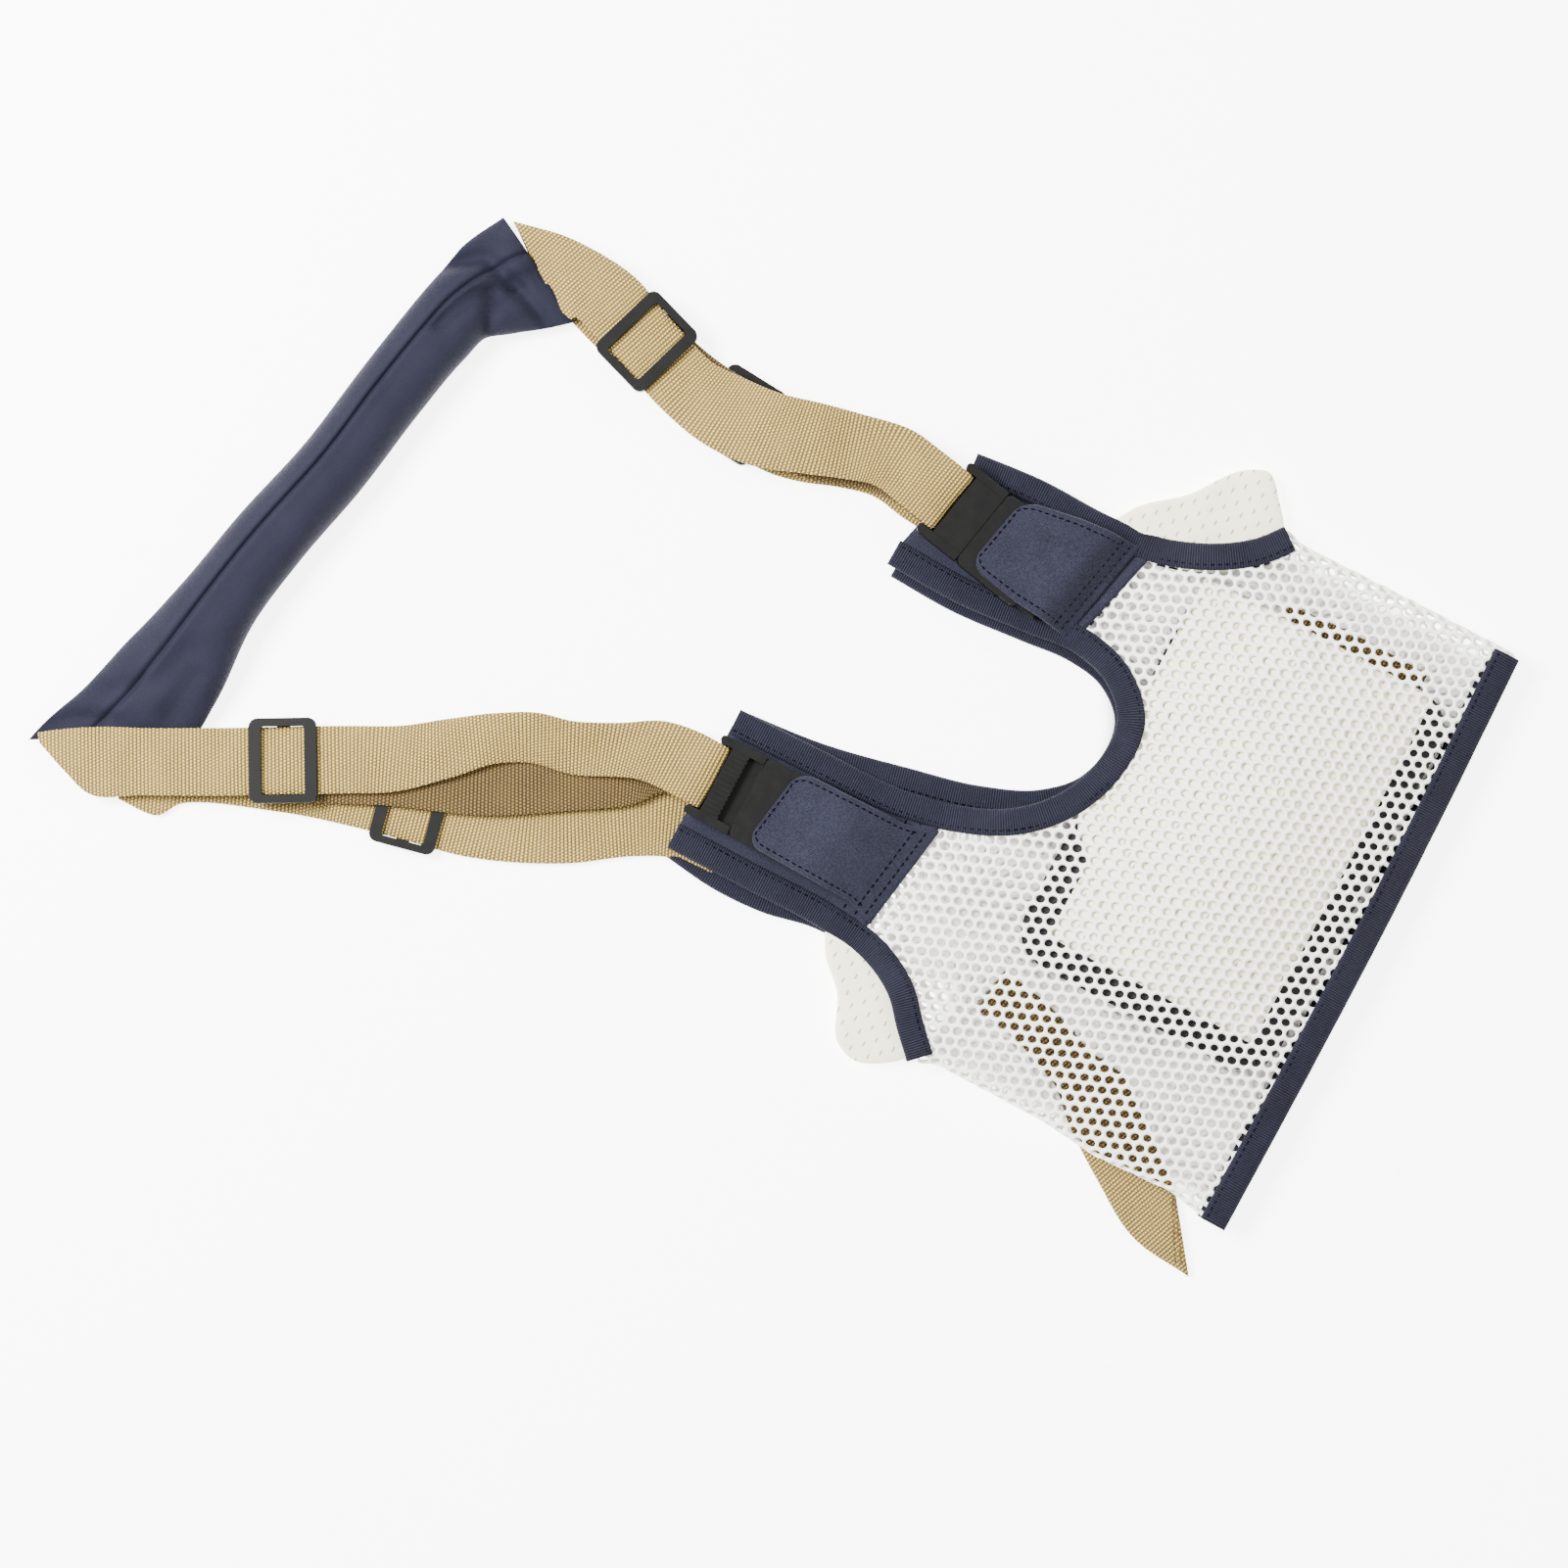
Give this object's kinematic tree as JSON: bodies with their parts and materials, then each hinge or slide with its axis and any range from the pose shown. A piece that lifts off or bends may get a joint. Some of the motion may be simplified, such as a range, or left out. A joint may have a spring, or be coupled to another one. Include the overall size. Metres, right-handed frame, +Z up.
{
  "type": "arm sling",
  "caption": "Padded arm sling and support harness: mesh vest with a U neck, buckled shoulder tabs, adjustable webbing straps and a padded neck band, lying flat.",
  "frame": {"origin": "centre of the bounding box on the surface it lies on", "axes": "+Z up from the surface, +Y from the vest hem towards the neck pad, +X across"},
  "size_m": [0.3905, 0.5886, 0.0342],
  "materials": {
    "navy_canvas": "twill canvas, matt",
    "navy_tape": "cross-ribbed binding tape, matt",
    "tan_webbing": "ribbed polyester webbing, slight sheen",
    "white_mesh": "knitted mesh with round holes, matt",
    "cream_knit": "soft knitted spacer cloth, matt",
    "black_tape": "plain woven edging tape, matt",
    "foam": "open-cell foam",
    "black_plastic": "moulded acetal, satin"
  },
  "bodies": {
    "root": {"neck_pad_cover": "navy_canvas", "neck_pad_foam": "foam", "front_strap_left": "tan_webbing", "front_strap_right": "tan_webbing", "front_return_left": "tan_webbing", "front_return_right": "tan_webbing", "back_strap_left": "tan_webbing", "back_strap_right": "tan_webbing", "buckle_socket_left": "black_plastic", "buckle_socket_right": "black_plastic", "buckle_anchor_left": "navy_canvas", "buckle_anchor_right": "navy_canvas", "front_panel": "white_mesh", "back_panel": "white_mesh", "front_tab_left": "navy_canvas", "front_tab_right": "navy_canvas", "back_tab_left": "navy_canvas", "back_tab_right": "navy_canvas", "liner_pad": "cream_knit", "liner_edging": "black_tape", "arm_guard_left": "cream_knit", "arm_guard_right": "cream_knit", "inner_strap_left": "tan_webbing", "inner_strap_right": "tan_webbing", "neck_binding_front": "navy_tape", "neck_binding_back": "navy_tape", "armhole_binding_front_left": "navy_tape", "armhole_binding_front_right": "navy_tape", "armhole_binding_back_left": "navy_tape", "armhole_binding_back_right": "navy_tape", "hem_binding_front": "navy_tape", "hem_binding_back": "navy_tape"},
    "plug_left": {"front_strap_end_left": "tan_webbing", "buckle_plug_left": "black_plastic"},
    "plug_right": {"front_strap_end_right": "tan_webbing", "buckle_plug_right": "black_plastic"},
    "front_slider_left_body": {"front_slider_left": "black_plastic"},
    "front_slider_right_body": {"front_slider_right": "black_plastic"},
    "back_slider_left_body": {"back_slider_left": "black_plastic"},
    "back_slider_right_body": {"back_slider_right": "black_plastic"},
    "latch_arm_left_a_body": {"latch_arm_left_a": "black_plastic"},
    "latch_arm_left_b_body": {"latch_arm_left_b": "black_plastic"},
    "latch_arm_right_a_body": {"latch_arm_right_a": "black_plastic"},
    "latch_arm_right_b_body": {"latch_arm_right_b": "black_plastic"},
    "flap_left_body": {"flap_left": "navy_canvas"},
    "flap_right_body": {"flap_right": "navy_canvas"}
  },
  "joints": [
    {"name": "front_slider_left_slide", "type": "slide", "parent": "root", "child": "front_slider_left_body", "axis": [0.4848, -0.8746, 0], "range_m": [-0.015, 0.012]},
    {"name": "front_slider_right_slide", "type": "slide", "parent": "root", "child": "front_slider_right_body", "axis": [-0.309, -0.9511, 0], "range_m": [-0.015, 0.012]},
    {"name": "back_slider_left_slide", "type": "slide", "parent": "root", "child": "back_slider_left_body", "axis": [0.225, -0.9744, 0], "range_m": [-0.008, 0.015]},
    {"name": "back_slider_right_slide", "type": "slide", "parent": "root", "child": "back_slider_right_body", "axis": [-0.0698, -0.9976, 0], "range_m": [-0.008, 0.015]},
    {"name": "buckle_release_left", "type": "slide", "parent": "root", "child": "plug_left", "axis": [0, 1, 0], "range_m": [0, 0.02]},
    {"name": "latch_press_left_a", "type": "hinge", "parent": "plug_left", "child": "latch_arm_left_a_body", "pos_m": [-0.062, -0.0133, 0.0132], "axis": [0, 0, 1], "range_deg": [0, 6], "stiffness_Nm_per_rad": 0.2},
    {"name": "latch_press_left_b", "type": "hinge", "parent": "plug_left", "child": "latch_arm_left_b_body", "pos_m": [-0.039, -0.0133, 0.0132], "axis": [0, 0, -1], "range_deg": [0, 6], "stiffness_Nm_per_rad": 0.2},
    {"name": "buckle_release_right", "type": "slide", "parent": "root", "child": "plug_right", "axis": [0.1908, 0.9816, 0], "range_m": [0, 0.02]},
    {"name": "latch_press_right_a", "type": "hinge", "parent": "plug_right", "child": "latch_arm_right_a_body", "pos_m": [0.11953, -0.05242, 0.0132], "axis": [0, 0, -1], "range_deg": [0, 6], "stiffness_Nm_per_rad": 0.2},
    {"name": "latch_press_right_b", "type": "hinge", "parent": "plug_right", "child": "latch_arm_right_b_body", "pos_m": [0.09695, -0.04803, 0.0132], "axis": [0, 0, 1], "range_deg": [0, 6], "stiffness_Nm_per_rad": 0.2},
    {"name": "flap_lift_left", "type": "hinge", "parent": "root", "child": "flap_left_body", "pos_m": [-0.0495, -0.0893, 0.0074], "axis": [0.9877, -0.1564, 0], "range_deg": [0, 110]},
    {"name": "flap_lift_right", "type": "hinge", "parent": "root", "child": "flap_right_body", "pos_m": [0.11, -0.1093, 0.0074], "axis": [0.9781, -0.2079, 0], "range_deg": [0, 110]}
  ],
  "couplings": [
    {"joint": "latch_press_left_b", "follows": "latch_press_left_a", "ratio": 1},
    {"joint": "latch_press_right_b", "follows": "latch_press_right_a", "ratio": 1}
  ]
}
